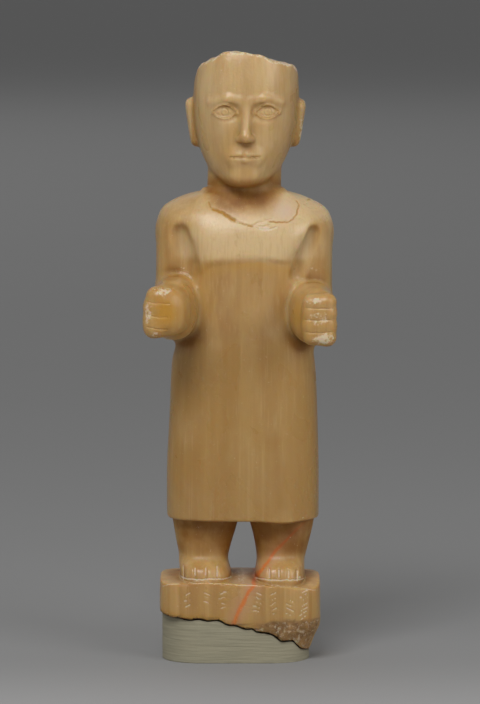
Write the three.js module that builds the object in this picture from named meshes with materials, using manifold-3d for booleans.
import * as THREE from 'three';
import { mergeVertices } from 'three/addons/utils/BufferGeometryUtils.js';
import Module from 'manifold-3d';

// All sizes are millimetres. x runs across the figure, y from front (minus) to back, z up.

// How finely the stone is meshed, and how many triangles it keeps.
const CELL = 1.5;
const STEPS = 600;
const KEPT_TRIANGLES = 8900;

// Rows of a loft: height, left, right, front, back, squareness (2 is an ellipse).
const TUNIC = [
  [112, -62.6, 62.2, -42, 38, 3.0],
  [124, -63.1, 62.3, -42, 38, 2.9],
  [161, -63.0, 62.2, -41.5, 37.5, 2.8],
  [186, -61.6, 61.6, -40.5, 37, 2.8],
  [211, -60.4, 60.8, -39, 36, 2.8],
  [231, -59.6, 60.0, -38, 35, 2.8],
  [246, -58.4, 58.6, -37.5, 34.5, 2.7],
  [256, -55.6, 57.0, -37.5, 34, 2.6],
  [266, -51.5, 53.5, -38, 34, 2.5],
  [285, -54.0, 56.0, -41, 34, 2.5],
  [310, -55.5, 57.5, -44, 34.5, 2.5],
  [330, -55.5, 57.5, -44.8, 35, 2.5],
  [350, -53.0, 55.0, -36, 34, 2.5],
  [368, -42.0, 44.0, -26, 30, 2.4],
];
const CHEST = [
  [318, -33.5, 36.0, -42.6, 0, 3.4],
  [325, -35.5, 39.0, -46.0, 0, 3.6],
  [334, -38.8, 44.5, -46.0, 0, 3.5],
  [344, -43.5, 51.5, -44.4, 0, 3.3],
  [352, -48.0, 56.5, -42.8, 0, 3.0],
  [360, -50.0, 57.0, -40.2, 0, 2.8],
  [368, -47.0, 52.0, -36.4, 0, 2.6],
  [377, -40.0, 43.0, -30.2, 0, 2.4],
  [386, -33.0, 34.0, -24.0, 0, 2.3],
];
const SHOULDERS = [
  [334, -62.0, 64.0, -6, 24, 2.4],
  [345, -68.0, 70.0, -18, 30, 2.6],
  [355, -69.8, 71.8, -28, 33, 2.7],
  [364.8, -68.3, 70.3, -30, 33.5, 2.6],
  [369.7, -65.9, 67.0, -29, 33, 2.5],
  [374.7, -60.9, 60.4, -27, 31.5, 2.4],
  [379.6, -51.1, 49.8, -24, 29, 2.3],
  [384.5, -36.0, 36.0, -20, 27, 2.2],
];
const RIGHT_UPPER_ARM = [
  [262, -66.0, -42.0, -14, 18, 2.2],
  [275, -70.5, -36.0, -20, 24, 2.5],
  [292, -71.8, -30.0, -23.5, 27, 2.8],
  [325, -71.7, -28.0, -24.5, 28, 3.0],
  [352, -70.2, -28.0, -27.5, 30, 2.9],
  [368, -64.0, -30.0, -26, 28, 2.4],
];
const LEFT_UPPER_ARM = [
  [259, 44.0, 67.0, -14, 18, 2.2],
  [272, 38.0, 71.8, -20, 24, 2.5],
  [290, 32.0, 72.9, -23.5, 27, 2.8],
  [325, 30.0, 72.9, -24.5, 28, 3.0],
  [352, 30.0, 72.2, -27.5, 30, 2.9],
  [368, 32.0, 65.0, -26, 28, 2.4],
];
// The forearms and fists are lofts along the way they point, with the rows
// as reach, left, right, low, high, squareness.
const RIGHT_FOREARM = [
  [-24, -68, -48, 278, 306, 2.2],
  [-6, -72.5, -43, 268, 313, 2.3],
  [30, -74.0, -37.8, 265.5, 316.0, 2.4],
  [50, -73.5, -38.6, 267.5, 315.0, 2.4],
  [66, -71.5, -42.0, 270.5, 311.0, 2.4],
];
const LEFT_FOREARM = [
  [-24, 50, 69, 276, 302, 2.2],
  [-6, 44.5, 73.5, 266, 308, 2.3],
  [30, 36.9, 74.2, 263.0, 311.0, 2.4],
  [50, 38.6, 73.8, 264.5, 310.0, 2.4],
  [66, 42.0, 72.5, 266.0, 307.0, 2.4],
];
const RIGHT_FIST = [
  [52, -73.0, -40.0, 268.0, 312.0, 2.3],
  [64, -76.6, -41.0, 270.5, 312.0, 2.4],
  [78, -78.0, -43.0, 271.6, 311.8, 2.5],
  [88, -77.2, -46.5, 273.0, 310.2, 2.4],
  [94.5, -73.0, -52.0, 277.5, 305.5, 2.2],
];
const LEFT_FIST = [
  [52, 43.0, 72.6, 265.8, 306.5, 2.6],
  [64, 45.8, 72.8, 265.8, 306.4, 2.9],
  [78, 46.6, 72.8, 265.9, 306.2, 3.2],
  [87, 47.2, 72.4, 266.6, 305.4, 3.2],
  [93.6, 49.0, 70.8, 269.6, 303.0, 2.8],
];
const RIGHT_LEG = [
  [58, -52.5, -9.8, -37.0, 31, 3.2],
  [66.0, -52.4, -9.9, -36.6, 31, 3.2],
  [70.5, -52.5, -10.2, -35.6, 30.5, 3.1],
  [75.5, -52.9, -11.6, -33.2, 29, 2.9],
  [80, -53.3, -12.4, -27.6, 28, 2.6],
  [85, -53.5, -11.8, -24.2, 27, 2.5],
  [96, -55.7, -8.9, -24.5, 27, 2.5],
  [106, -57.3, -5.8, -26.5, 28, 2.5],
  [122, -60.0, -2.0, -30.0, 30, 2.5],
];
const LEFT_LEG = [
  [58, 9.6, 50.9, -36.6, 31, 3.2],
  [66.0, 9.6, 50.8, -36.2, 31, 3.2],
  [70.5, 9.7, 50.7, -35.2, 30.5, 3.1],
  [75.5, 10.4, 50.6, -32.8, 29, 2.9],
  [80, 10.9, 50.8, -27.4, 28, 2.6],
  [85, 10.6, 52.0, -24.2, 27, 2.5],
  [96, 8.9, 54.8, -24.5, 27, 2.5],
  [106, 6.5, 57.2, -26.5, 28, 2.5],
  [122, 2.0, 60.0, -30.0, 30, 2.5],
];
const PLINTH = [
  [-6, -60, 50.0, -30, 34, 3.6],
  [4.3, -64, 54.5, -33, 35, 3.8],
  [18, -66.5, 59.4, -36, 35.5, 4.2],
  [27.6, -67.8, 63.4, -38.2, 36, 4.6],
  [40, -69, 63.7, -39.2, 36, 4.8],
  [54, -69, 63.6, -39.4, 36, 4.8],
  [61, -68.8, 63.4, -39.2, 36, 4.8],
  [74, -68.0, 62.6, -38.8, 35.6, 4.8],
];
// The hollows between chest and arms: x at the top, x at the foot, softness of the edge.
const HOLLOWS = [[-52, -45, 6], [58, 47.5, 3]];
// The head and neck lean a little to the figure's left as they rise.
const LEAN = 0.023;
const LEAN_FROM = 384;
const HEAD_X = 0.5;
const HEAD = [
  [388.5, -10, 10, -38.5, -8, 2.1],
  [392, -17.0, 17.0, -43.0, 8, 2.1],
  [398, -24.0, 24.0, -45.6, 20, 2.1],
  [406, -30.5, 30.5, -46.5, 27.5, 2.15],
  [416, -35.5, 35.5, -47.0, 32.5, 2.2],
  [428, -39.7, 39.7, -47.6, 37, 2.3],
  [442, -42.4, 42.4, -48.3, 41, 2.4],
  [458, -43.3, 43.3, -48.6, 43, 2.45],
  [478, -42.2, 42.2, -47.4, 42.5, 2.5],
  [504, -38.0, 38.0, -43.5, 39, 2.5],
];
const NECK = [
  [344, -34, 34.5, -37, 31, 2.2],
  [362, -32.4, 33.4, -35.5, 30.5, 2.2],
  [374, -30.6, 31.6, -31.0, 29, 2.2],
  [386, -29.8, 30.9, -26.5, 27.5, 2.2],
  [412, -29.5, 31.0, -23, 27, 2.2],
];
const RIGHT_EAR = [
  [420, -43.6, -34, -6, 7, 2.6],
  [426, -45.0, -34, -10, 9, 2.8],
  [440, -47.6, -34, -12.5, 10, 3],
  [454, -49.6, -34, -13, 10, 3],
  [460.5, -49.0, -34, -10, 8, 2.6],
];
const LEFT_EAR = [
  [420, 34, 44.2, -6, 7, 2.6],
  [426, 34, 45.4, -10, 9, 2.8],
  [440, 34, 47.4, -12.5, 10, 3],
  [453, 34, 49.0, -13, 10, 3],
  [459.5, 34, 48.4, -10, 8, 2.6],
];
// Height of the broken top of the head, and of the broken underside of the
// plinth, each as rows of x, z.
const TOP_BREAK = [
  [-41, 476], [-37.5, 485.5], [-34, 489], [-26, 493.5], [-16, 497.4], [-8, 499],
  [0, 498.4], [12, 495.8], [24, 491.8], [40, 489], [44, 486], [46.5, 479],
];
const TOP_FALL = 0.06;
const UNDER_BREAK = [
  [-72, 38], [-67, 37], [-55, 34.8], [-43, 34.4], [-30, 33.3], [-19, 32],
  [-11, 29.2], [1.4, 27.2], [7, 26.3], [10.4, 23.6], [17.4, 23.4], [23.5, 20.3],
  [31, 15.3], [41, 14.7], [47.5, 9], [54, 5.2], [66, 4],
];

// The figure's own carved face, in head measures from the mid-line.
const EYE_X = 17.5;
const EYE_Z = 450;
const EYE_HALF = 9.2;
const NOSE_Z = 425;
const MOUTH_Z = 413.6;
const CHIN_Z = 398;

// Gaps between the toes.
const RIGHT_TOE_GAPS = [-49.2, -39.6, -30.4, -21.2];
const LEFT_TOE_GAPS = [21.1, 29.2, 36.4, 43.9];
// The fingers of each fist, as rows of height, radius and reach outwards.
const RIGHT_FINGERS = [[304.6, 6.6, 76.6], [295.5, 6.8, 79.0], [285.0, 7.0, 79.4], [278.2, 6.2, 78.4]];
const LEFT_FINGERS = [[300.2, 6.2, 73.6], [290.8, 5.8, 73.9], [280.8, 6.6, 73.9], [271.4, 5.8, 73.3]];

// The modern block that fills in for the lost part of the plinth.
const BLOCK_LEFT = -67;
const BLOCK_RIGHT = 54.5;
const BLOCK_FRONT = -37.5;
const BLOCK_BACK = 36;
const BLOCK_CORNER = 29;
const BLOCK_BOTTOM = -2.0;
const BLOCK_TOP = 42;
const SEAT_GAP = 0.5;
// How many pieces the break is divided into, across and from front to back.
const BREAK_COLUMNS = 34;
const BREAK_ROWS = 7;

const clamp = (v, lo, hi) => Math.min(hi, Math.max(lo, v));

// Soft join and soft meet of two distances, with a fillet k wide.
function join(a, b, k) {
  const h = Math.max(k - Math.abs(a - b), 0) / k;
  return Math.min(a, b) - h * h * k / 4;
}
const meet = (a, b, k) => -join(-a, -b, k);

// A bump one high and about one wide each way, and a smooth step from a to b.
const bump = (t) => Math.exp(-t * t);
function fade(v, a, b) {
  const t = clamp((v - a) / (b - a), 0, 1);
  return t * t * (3 - 2 * t);
}

// A smooth curve through rows whose first number is where, sampled once.
function curve(rows) {
  const first = rows[0][0];
  const span = rows[rows.length - 1][0] - first;
  const slope = (i, c) => {
    const p = rows[Math.max(i - 1, 0)];
    const q = rows[Math.min(i + 1, rows.length - 1)];
    return (q[c] - p[c]) / (q[0] - p[0]);
  };
  const table = new Float64Array(5 * (STEPS + 2));
  for (let s = 0; s <= STEPS + 1; s += 1) {
    const w = first + span * Math.min(s / STEPS, 1);
    let i = 0;
    while (i < rows.length - 2 && w > rows[i + 1][0]) i += 1;
    const p = rows[i];
    const q = rows[i + 1];
    const d = q[0] - p[0];
    const t = (w - p[0]) / d;
    const t2 = t * t;
    const t3 = t2 * t;
    for (let c = 1; c <= 5; c += 1) {
      table[5 * s + c - 1] = (2 * t3 - 3 * t2 + 1) * p[c] + (t3 - 2 * t2 + t) * d * slope(i, c)
        + (3 * t2 - 2 * t3) * q[c] + (t3 - t2) * d * slope(i + 1, c);
    }
  }
  return table;
}

// A straight-sided trace through rows of x, z.
function trace(rows) {
  return (x) => {
    let i = 0;
    while (i < rows.length - 2 && x > rows[i + 1][0]) i += 1;
    const t = clamp((x - rows[i][0]) / (rows[i + 1][0] - rows[i][0]), 0, 1);
    return rows[i][1] + (rows[i + 1][1] - rows[i][1]) * t;
  };
}

// Distance to a stack of rounded rectangles, one above the other.
function loft(rows, round) {
  const table = curve(rows);
  const low = rows[0][0];
  const high = rows[rows.length - 1][0];
  return (x, y, z) => {
    const s = clamp((z - low) / (high - low), 0, 1) * STEPS;
    const i = Math.floor(s);
    const t = s - i;
    const row = (c) => table[5 * i + c] + (table[5 * i + 5 + c] - table[5 * i + c]) * t;
    const l = row(0);
    const r = row(1);
    const f = row(2);
    const b = row(3);
    const n = row(4);
    const ends = Math.max(low - z, z - high);
    const u = Math.abs(x - (l + r) / 2) / ((r - l) / 2);
    const v = Math.abs(y - (f + b) / 2) / ((b - f) / 2);
    const rho = Math.pow(Math.pow(u, n) + Math.pow(v, n), 1 / n);
    let side = -Math.min(r - l, b - f) / 2;
    if (rho > 0.05) {
      const gu = Math.pow(u / rho, n - 1) / ((r - l) / 2);
      const gv = Math.pow(v / rho, n - 1) / ((b - f) / 2);
      side = (rho - 1) / Math.sqrt(gu * gu + gv * gv);
    }
    return meet(side, ends, round);
  };
}

function ellipsoid(x, y, z, a, b, c) {
  const k0 = Math.hypot(x / a, y / b, z / c);
  const k1 = Math.hypot(x / (a * a), y / (b * b), z / (c * c));
  return k1 < 1e-6 ? -Math.min(a, b, c) : k0 * (k0 - 1) / k1;
}

// Distance to a rod from p to q, with a radius at each end.
function rod(x, y, z, p, q, rp, rq) {
  const d = [q[0] - p[0], q[1] - p[1], q[2] - p[2]];
  const len2 = d[0] * d[0] + d[1] * d[1] + d[2] * d[2];
  const t = clamp(((x - p[0]) * d[0] + (y - p[1]) * d[1] + (z - p[2]) * d[2]) / len2, 0, 1);
  const gap = Math.hypot(x - p[0] - d[0] * t, y - p[1] - d[1] * t, z - p[2] - d[2] * t);
  return gap - rp - (rq - rp) * t;
}

const tunic = loft(TUNIC, 4);
const chest = loft(CHEST, 5);
const shoulders = loft(SHOULDERS, 5);
const upperArms = [loft(RIGHT_UPPER_ARM, 10), loft(LEFT_UPPER_ARM, 10)];
const forearms = [loft(RIGHT_FOREARM, 8), loft(LEFT_FOREARM, 8)];
const fists = [loft(RIGHT_FIST, 8), loft(LEFT_FIST, 8)];
const legs = [loft(RIGHT_LEG, 3), loft(LEFT_LEG, 3)];
const plinth = loft(PLINTH, 4);
const head = loft(HEAD, 4);
const neck = loft(NECK, 4);
const ears = [loft(RIGHT_EAR, 5), loft(LEFT_EAR, 5)];
const topTrace = trace(TOP_BREAK);
const underTrace = trace(UNDER_BREAK);

// Height of the tunic's lower edge, which dips a little at the front right.
const hem = (x) => 115.4 - 2.8 * Math.exp(-(((x - 33) / 14) ** 2));

// Height of the top of the plinth, lower along the front and at its corners.
function plinthTop(x, y) {
  const forward = clamp(-y / 36, 0, 1) ** 2;
  const corner = Math.min(Math.abs(x + 2.7) / 65, 1) ** 4;
  const fall = 0.8 + 3.6 * corner + 0.045 * Math.max(x + 30, 0);
  return 66.2 - 0.01 * Math.max(x, 0) - forward * fall;
}

// Height of the ledge under the chest, a low arch.
const ledge = (x) => 330.8 - 5.5 * ((x - 3) / 36) ** 2;

// Height of the broken underside at a point.
function underBreak(x, y) {
  const wave = 0.6 * Math.sin(x * 0.41 + y * 0.06) + 0.5 * Math.sin(x * 0.13 - y * 0.09 + 1);
  return underTrace(x) + wave - 0.03 * (y + 36);
}

// Height of the broken top of the head at a point.
function topBreak(x, y) {
  const wave = 0.6 * Math.sin(x * 0.21 - y * 0.12) + 0.4 * Math.sin(x * 0.43 + y * 0.17 + 2);
  return topTrace(x) - 0.9 - TOP_FALL * (y + 20) + wave;
}

// The face: brows, sockets, eyes with lids, nose, lips and chin.
function face(before, x, y, z) {
  let f = before;
  const s = Math.abs(x);
  f = meet(f, -ellipsoid(s - EYE_X, y + 49.6, z - EYE_Z - 0.6, 13, 5.4, 8), 4);
  f = join(f, rod(s, y, z, [4.5, -46.6, EYE_Z + 6.4], [15, -45.6, EYE_Z + 11], 1.6, 1.8), 5);
  f = join(f, rod(s, y, z, [15, -45.6, EYE_Z + 11], [28.5, -39.6, EYE_Z + 7], 1.8, 1.4), 5);
  // The eye is an almond in relief: a domed ball with a raised lid round it.
  const u = (s - EYE_X) / EYE_HALF;
  const open = (z > EYE_Z ? 5 : 4.2) * Math.max(1 - u * u, 0);
  const rim = Math.max(Math.abs(z - EYE_Z) - open, (Math.abs(u) - 1) * EYE_HALF);
  f -= 1.3 * bump((rim - 0.9) / 1.1) + 1.0 * (1 - fade(rim, -3.5, 0.3));
  f = join(f, rod(s, y, z, [0, -45.4, EYE_Z + 7], [0, -50.8, NOSE_Z + 6], 3, 4), 4);
  f = join(f, ellipsoid(s, y + 51, z - NOSE_Z - 4.6, 4.4, 4.6, 4.3), 3);
  f = join(f, ellipsoid(s - 4.6, y + 47.4, z - NOSE_Z - 3.4, 2.9, 3.8, 2.9), 3);
  f = join(f, ellipsoid(s, y + 43.6, z - MOUTH_Z - 0.4, 15, 5, 9), 5);
  f = join(f, rod(s, y, z, [2.4, -48.2, MOUTH_Z + 2.2], [11.4, -45.6, MOUTH_Z + 0.9], 1.7, 0.9), 2);
  f = join(f, rod(s, y, z, [0, -48.1, MOUTH_Z - 2.3], [9, -46.4, MOUTH_Z - 1.3], 2.1, 1.1), 2);
  f = meet(f, -rod(s, y, z, [0, -50.6, MOUTH_Z], [12, -47, MOUTH_Z + 0.2], 0.7, 0.6), 1.2);
  f = join(f, ellipsoid(s, y + 42.4, z - CHIN_Z, 11, 5.4, 7), 5);
  return f;
}

function headPart(x, y, z) {
  const hx = x - HEAD_X - LEAN * (z - LEAN_FROM);
  let f = head(hx, y, z);
  if (y < -20) f = face(f, hx, y, z);
  for (const ear of ears) f = join(f, ear(hx, y, z), 2.5);
  f = meet(f, z - topBreak(x, y), 2.5);
  return f;
}

// A forearm with its fist; the fingers lie one above the other.
function fist(side, x, y, z) {
  let f = join(forearms[side](x, z, -y), fists[side](x, z, -y), 9);
  if (side === 0) {
    for (const [height, r, out] of RIGHT_FINGERS) {
      const edge = r - out;
      f = join(f, rod(x, y, z, [edge, -92 + r, height], [edge, -70, height], r, r - 0.6), 5);
      f = join(f, rod(x, y, z, [edge, -92 + r, height], [-68, -94 + r, height], r, r - 0.6), 5);
    }
  } else {
    for (const [height, r, out] of LEFT_FINGERS) {
      const edge = out - r;
      f = join(f, rod(x, y, z, [54, -95 + r, height], [edge, -94 + r, height], r - 0.3, r), 4.5);
      f = join(f, rod(x, y, z, [edge, -94 + r, height], [edge, -70, height], r, r - 0.6), 4.5);
    }
  }
  return f;
}

// Distance to the whole stone: the figure and its plinth are one piece.
function statue(x, y, z) {
  let f = 1e3;
  if (z > 330) {
    f = join(f, headPart(x, y, z), 3);
    f = join(f, neck(x - LEAN * Math.max(z - LEAN_FROM, 0), y, z), 4);
  }
  if (z > 95 && z < 400) {
    let body = meet(tunic(x, y, z), hem(x) - z, 3);
    if (z > 290) {
      const slab = meet(chest(x, y, z), ledge(x) - z, 5);
      body = join(body, slab, 5 - 2.5 * fade(x, -5, 20));
      body = join(body, shoulders(x, y, z), 10);
    }
    if (z > 240) {
      for (const arm of upperArms) body = join(body, arm(x, y, z), 10);
      for (const [topX, lowX, soft] of HOLLOWS) {
        const hollow = rod(x, y, z, [topX, -31, 351], [lowX, -38.5, 318], 6, 9.5);
        body = meet(body, -hollow, soft);
      }
      body = join(body, fist(0, x, y, z), 6);
      body = join(body, fist(1, x, y, z), 4);
    }
    f = join(f, body, z > 340 ? 2.5 : 1);
  }
  if (z < 140) {
    let base = meet(plinth(x, y, z), z - plinthTop(x, y), 1.4);
    // The lower front at the figure's left is a break that leans in.
    const leanIn = -(y + 40) * 0.85 + (27 - z) * 0.3 - 0.2 * Math.max(20 - x, 0);
    base = meet(base, leanIn, 3);
    for (const [i, leg] of legs.entries()) {
      let foot = leg(x, y, z);
      if (z > 60 && z < 80 && y < -10) {
        const reach = 0.8 * fade(z, 66, 69) * (1 - fade(z, 75, 78));
        for (const gap of [RIGHT_TOE_GAPS, LEFT_TOE_GAPS][i]) foot += reach * bump((x - gap) / 1.2);
      }
      base = join(base, foot, 1.5);
    }
    f = join(f, base, 1.5);
  }
  return f;
}

// Mesh the zero surface of a distance: one vertex in each cell that the
// surface crosses, one quad around each grid edge that it crosses.
function surface(field, low, high, step) {
  const size = [0, 1, 2].map((i) => Math.ceil((high[i] - low[i]) / step) + 1);
  const [nx, ny, nz] = size;
  const block = 6;
  const values = new Float32Array(nx * ny * nz).fill(1e3);
  const index = (i, j, k) => (k * ny + j) * nx + i;
  const point = (i, j, k) => [low[0] + i * step, low[1] + j * step, low[2] + k * step];
  const reach = block * step * 1.25;
  for (let k = 0; k < nz; k += block) {
    for (let j = 0; j < ny; j += block) {
      for (let i = 0; i < nx; i += block) {
        const middle = point(i + (block - 1) / 2, j + (block - 1) / 2, k + (block - 1) / 2);
        const coarse = field(...middle);
        const far = Math.abs(coarse) > reach;
        for (let c = k; c < Math.min(k + block, nz); c += 1) {
          for (let b = j; b < Math.min(j + block, ny); b += 1) {
            for (let a = i; a < Math.min(i + block, nx); a += 1) {
              values[index(a, b, c)] = far ? coarse : field(...point(a, b, c));
            }
          }
        }
      }
    }
  }
  const vertexOf = new Map();
  const places = [];
  const steps = [1, nx, nx * ny];
  const faces = [];
  const slope = (p) => {
    const e = 0.05;
    const g = [0, 1, 2].map((i) => {
      const q = p.slice();
      q[i] += e;
      const r = p.slice();
      r[i] -= e;
      return (field(...q) - field(...r)) / (2 * e);
    });
    return g;
  };
  const cellVertex = (i, j, k) => {
    const key = index(i, j, k);
    if (vertexOf.has(key)) return vertexOf.get(key);
    const sum = [0, 0, 0];
    let count = 0;
    for (let axis = 0; axis < 3; axis += 1) {
      const u = (axis + 1) % 3;
      const v = (axis + 2) % 3;
      for (let c = 0; c < 4; c += 1) {
        const start = key + (c & 1 ? steps[u] : 0) + (c & 2 ? steps[v] : 0);
        const p = values[start];
        const q = values[start + steps[axis]];
        if ((p < 0) === (q < 0)) continue;
        const t = p / (p - q);
        sum[axis] += t;
        sum[u] += c & 1 ? 1 : 0;
        sum[v] += c & 2 ? 1 : 0;
        count += 1;
      }
    }
    const at = point(i, j, k).map((w, a) => w + step * sum[a] / count);
    const g = slope(at);
    const g2 = g[0] * g[0] + g[1] * g[1] + g[2] * g[2];
    const f = field(...at);
    const pull = clamp(f / Math.max(g2, 0.2), -0.35 * step, 0.35 * step);
    const id = places.length / 3;
    places.push(at[0] - pull * g[0], at[1] - pull * g[1], at[2] - pull * g[2]);
    vertexOf.set(key, id);
    return id;
  };
  for (let k = 1; k < nz - 1; k += 1) {
    for (let j = 1; j < ny - 1; j += 1) {
      for (let i = 1; i < nx - 1; i += 1) {
        const here = values[index(i, j, k)];
        for (let axis = 0; axis < 3; axis += 1) {
          const next = values[index(i, j, k) + steps[axis]];
          if ((here < 0) === (next < 0)) continue;
          const u = [0, 0, 0];
          const v = [0, 0, 0];
          u[(axis + 1) % 3] = 1;
          v[(axis + 2) % 3] = 1;
          const a = cellVertex(i, j, k);
          const b = cellVertex(i - u[0], j - u[1], k - u[2]);
          const c = cellVertex(i - u[0] - v[0], j - u[1] - v[1], k - u[2] - v[2]);
          const d = cellVertex(i - v[0], j - v[1], k - v[2]);
          const ring = here < 0 ? [a, b, c, d] : [a, d, c, b];
          const gap = (p, q) => Math.hypot(...[0, 1, 2].map((w) => places[3 * p + w] - places[3 * q + w]));
          if (gap(ring[0], ring[2]) < gap(ring[1], ring[3])) {
            faces.push(ring[0], ring[1], ring[2], ring[0], ring[2], ring[3]);
          } else {
            faces.push(ring[0], ring[1], ring[3], ring[1], ring[2], ring[3]);
          }
        }
      }
    }
  }
  return { places, faces };
}

// How much more closely the face, the hands and the toes are kept.
function care(x, y, z) {
  if (z > 385) return y < -34 && z < 465 ? 12 : 1;
  if (z > 255) return y < -58 ? 4 : 1;
  return z > 58 && z < 82 && y < -24 ? 4 : 1;
}

// Take out edges, cheapest first by the squared distance to the planes they
// stand for, until the wanted number of triangles is left.
function thin(mesh, wanted) {
  const p = Float64Array.from(mesh.places);
  const tri = Int32Array.from(mesh.faces);
  const count = p.length / 3;
  const q = new Float64Array(count * 10);
  const around = Array.from({ length: count }, () => []);
  const alive = new Uint8Array(tri.length / 3).fill(1);
  const stamp = new Int32Array(count);
  const gone = new Uint8Array(count);
  const normal = (a, b, c) => {
    const ux = p[3 * b] - p[3 * a];
    const uy = p[3 * b + 1] - p[3 * a + 1];
    const uz = p[3 * b + 2] - p[3 * a + 2];
    const vx = p[3 * c] - p[3 * a];
    const vy = p[3 * c + 1] - p[3 * a + 1];
    const vz = p[3 * c + 2] - p[3 * a + 2];
    return [uy * vz - uz * vy, uz * vx - ux * vz, ux * vy - uy * vx];
  };
  for (let t = 0; t < tri.length / 3; t += 1) {
    const v = [tri[3 * t], tri[3 * t + 1], tri[3 * t + 2]];
    const n = normal(v[0], v[1], v[2]);
    const size = Math.hypot(n[0], n[1], n[2]) || 1e-12;
    const [a, b, c] = n.map((w) => w / size);
    const d = -(a * p[3 * v[0]] + b * p[3 * v[0] + 1] + c * p[3 * v[0] + 2]);
    const add = [a * a, a * b, a * c, a * d, b * b, b * c, b * d, c * c, c * d, d * d];
    const weight = care(p[3 * v[0]], p[3 * v[0] + 1], p[3 * v[0] + 2]) * size / 2;
    for (const w of v) {
      around[w].push(t);
      for (let i = 0; i < 10; i += 1) q[10 * w + i] += add[i] * weight;
    }
  }
  const error = (m, x, y, z) => m[0] * x * x + 2 * m[1] * x * y + 2 * m[2] * x * z + 2 * m[3] * x
    + m[4] * y * y + 2 * m[5] * y * z + 2 * m[6] * y + m[7] * z * z + 2 * m[8] * z + m[9];
  const best = (a, b) => {
    const m = [];
    for (let i = 0; i < 10; i += 1) m.push(q[10 * a + i] + q[10 * b + i]);
    const middle = [0, 1, 2].map((i) => (p[3 * a + i] + p[3 * b + i]) / 2);
    const det = m[0] * (m[4] * m[7] - m[5] * m[5]) - m[1] * (m[1] * m[7] - m[5] * m[2])
      + m[2] * (m[1] * m[5] - m[4] * m[2]);
    const scale = Math.abs(m[0] * m[4] * m[7]) + 1e-12;
    const length = Math.hypot(...[0, 1, 2].map((i) => p[3 * a + i] - p[3 * b + i]));
    let at = middle;
    if (Math.abs(det) > 1e-4 * scale) {
      const [rx, ry, rz] = [-m[3], -m[6], -m[8]];
      const x = (rx * (m[4] * m[7] - m[5] * m[5]) - m[1] * (ry * m[7] - m[5] * rz)
        + m[2] * (ry * m[5] - m[4] * rz)) / det;
      const y = (m[0] * (ry * m[7] - rz * m[5]) - rx * (m[1] * m[7] - m[5] * m[2])
        + m[2] * (m[1] * rz - ry * m[2])) / det;
      const z = (m[0] * (m[4] * rz - m[5] * ry) - m[1] * (m[1] * rz - ry * m[2])
        + rx * (m[1] * m[5] - m[4] * m[2])) / det;
      if (Math.hypot(x - middle[0], y - middle[1], z - middle[2]) < 1.2 * length) at = [x, y, z];
    }
    return { at, cost: Math.max(error(m, ...at), 0) + 1e-5 * length * length };
  };
  const heap = [];
  const push = (e) => {
    let i = heap.push(e) - 1;
    while (i > 0) {
      const up = (i - 1) >> 1;
      if (heap[up].cost <= heap[i].cost) break;
      [heap[up], heap[i]] = [heap[i], heap[up]];
      i = up;
    }
  };
  const pop = () => {
    const top = heap[0];
    const last = heap.pop();
    if (heap.length > 0) {
      heap[0] = last;
      let i = 0;
      for (;;) {
        let low = i;
        for (const c of [2 * i + 1, 2 * i + 2]) {
          if (c < heap.length && heap[c].cost < heap[low].cost) low = c;
        }
        if (low === i) break;
        [heap[low], heap[i]] = [heap[i], heap[low]];
        i = low;
      }
    }
    return top;
  };
  const offer = (a, b) => push({ a, b, sa: stamp[a], sb: stamp[b], ...best(a, b) });
  const ringOf = (v) => {
    const ring = new Set();
    for (const t of around[v]) {
      for (let i = 0; i < 3; i += 1) if (tri[3 * t + i] !== v) ring.add(tri[3 * t + i]);
    }
    return ring;
  };
  for (let v = 0; v < count; v += 1) {
    for (const w of ringOf(v)) if (w > v) offer(v, w);
  }
  let left = tri.length / 3;
  while (left > wanted && heap.length > 0) {
    const { a, b, sa, sb, at } = pop();
    if (gone[a] || gone[b] || stamp[a] !== sa || stamp[b] !== sb) continue;
    const ringA = ringOf(a);
    let shared = 0;
    for (const w of ringOf(b)) if (ringA.has(w)) shared += 1;
    if (shared !== 2) continue;
    let bad = false;
    for (const v of [a, b]) {
      for (const t of around[v]) {
        const w = [tri[3 * t], tri[3 * t + 1], tri[3 * t + 2]];
        if (w.includes(a) && w.includes(b)) continue;
        const n0 = normal(...w);
        const kept = [p[3 * v], p[3 * v + 1], p[3 * v + 2]];
        p.set(at, 3 * v);
        const n1 = normal(...w);
        p.set(kept, 3 * v);
        const dot = n0[0] * n1[0] + n0[1] * n1[1] + n0[2] * n1[2];
        const size = Math.hypot(...n1);
        if (dot < 0.35 * Math.hypot(...n0) * size || size < 1e-3) bad = true;
      }
    }
    if (bad) continue;
    p.set(at, 3 * a);
    for (let i = 0; i < 10; i += 1) q[10 * a + i] += q[10 * b + i];
    gone[b] = 1;
    stamp[a] += 1;
    for (const t of around[b]) {
      if (tri[3 * t] === a || tri[3 * t + 1] === a || tri[3 * t + 2] === a) {
        alive[t] = 0;
        left -= 1;
      } else {
        for (let i = 0; i < 3; i += 1) if (tri[3 * t + i] === b) tri[3 * t + i] = a;
        around[a].push(t);
      }
    }
    for (const w of ringOf(a)) {
      around[w] = around[w].filter((t) => alive[t]);
    }
    around[a] = around[a].filter((t) => alive[t]);
    for (const w of ringOf(a)) offer(a, w);
  }
  const number = new Map();
  const places = [];
  const faces = [];
  for (let t = 0; t < alive.length; t += 1) {
    if (!alive[t]) continue;
    for (let i = 0; i < 3; i += 1) {
      const v = tri[3 * t + i];
      if (!number.has(v)) {
        number.set(v, places.length / 3);
        places.push(p[3 * v], p[3 * v + 1], p[3 * v + 2]);
      }
      faces.push(number.get(v));
    }
  }
  return { places, faces };
}

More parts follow.
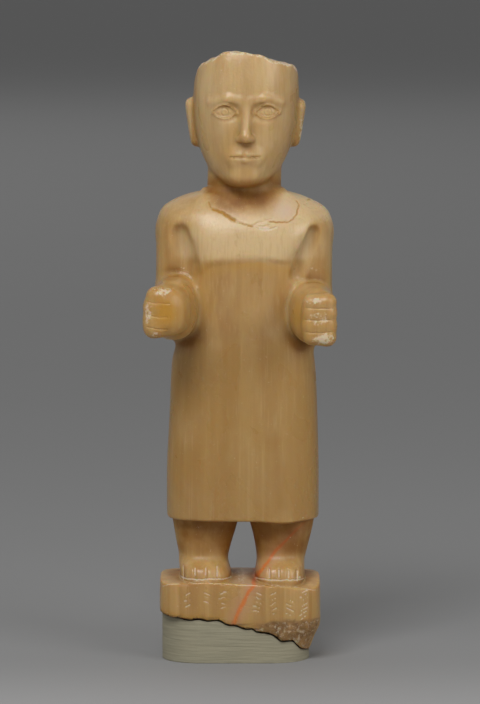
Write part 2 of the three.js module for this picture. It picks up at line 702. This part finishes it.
// A box under the plinth, whose top follows the break.
function breakBox() {
  const box = new THREE.BoxGeometry(140, 100, 80, BREAK_COLUMNS, BREAK_ROWS, 1);
  const place = box.getAttribute('position');
  for (let i = 0; i < place.count; i += 1) {
    const x = place.getX(i) - 2;
    const y = place.getY(i);
    place.setXYZ(i, x, y, place.getZ(i) > 0 ? underBreak(x, y) : -30);
  }
  return box;
}

function blockPrism() {
  const shape = new THREE.Shape();
  const c = BLOCK_CORNER;
  shape.moveTo(BLOCK_LEFT + c, BLOCK_FRONT);
  shape.lineTo(BLOCK_RIGHT - c, BLOCK_FRONT);
  shape.quadraticCurveTo(BLOCK_RIGHT - 4, BLOCK_FRONT + 4, BLOCK_RIGHT, BLOCK_FRONT + c);
  shape.lineTo(BLOCK_RIGHT, BLOCK_BACK - c);
  shape.quadraticCurveTo(BLOCK_RIGHT - 4, BLOCK_BACK - 4, BLOCK_RIGHT - c, BLOCK_BACK);
  shape.lineTo(BLOCK_LEFT + c, BLOCK_BACK);
  shape.quadraticCurveTo(BLOCK_LEFT + 4, BLOCK_BACK - 4, BLOCK_LEFT, BLOCK_BACK - c);
  shape.lineTo(BLOCK_LEFT, BLOCK_FRONT + c);
  shape.quadraticCurveTo(BLOCK_LEFT + 4, BLOCK_FRONT + 4, BLOCK_LEFT + c, BLOCK_FRONT);
  const depth = BLOCK_TOP - BLOCK_BOTTOM;
  return new THREE.ExtrudeGeometry(shape, { depth, bevelEnabled: false, curveSegments: 9 })
    .translate(0, 0, BLOCK_BOTTOM);
}

function material(name, color, roughness) {
  return new THREE.MeshStandardMaterial({ name, color, roughness, metalness: 0 });
}

const wasm = await Module();
wasm.setup();

function toSolid(geometry) {
  const bare = geometry.clone();
  bare.deleteAttribute('normal');
  bare.deleteAttribute('uv');
  const merged = mergeVertices(bare, 1e-3);
  return new wasm.Manifold(new wasm.Mesh({
    numProp: 3,
    vertProperties: merged.attributes.position.array,
    triVerts: Uint32Array.from(merged.index.array),
  }));
}

function toMeshGeometry(mesh) {
  const geometry = new THREE.BufferGeometry();
  geometry.setAttribute('position', new THREE.BufferAttribute(Float32Array.from(mesh.places), 3));
  geometry.setIndex(new THREE.BufferAttribute(Uint32Array.from(mesh.faces), 1));
  geometry.computeVertexNormals();
  return geometry;
}

const carved = toSolid(toMeshGeometry(surface(statue, [-88, -106, -16], [84, 54, 508], CELL)));
const broken = carved.subtract(toSolid(breakBox())).getMesh();
const stone = thin({ places: broken.vertProperties, faces: broken.triVerts }, KEPT_TRIANGLES);
const block = toSolid(blockPrism()).intersect(toSolid(breakBox().translate(0, 0, -SEAT_GAP)));
const filled = block.getMesh();

const filling = toMeshGeometry({ places: filled.vertProperties, faces: filled.triVerts });

const statueMesh = new THREE.Mesh(toMeshGeometry(stone), material('alabaster', 0xb08d5c, 0.45));
statueMesh.name = 'statue';
const blockMesh = new THREE.Mesh(filling, material('painted fill', 0x7b7763, 0.85));
blockMesh.name = 'support_block';

const figure = new THREE.Group();
figure.name = 'standing_figure';
figure.add(statueMesh, blockMesh);
// The heights above start a little over the block's underside; the whole stands on z = 0.
figure.position.z = -BLOCK_BOTTOM;

export default figure;
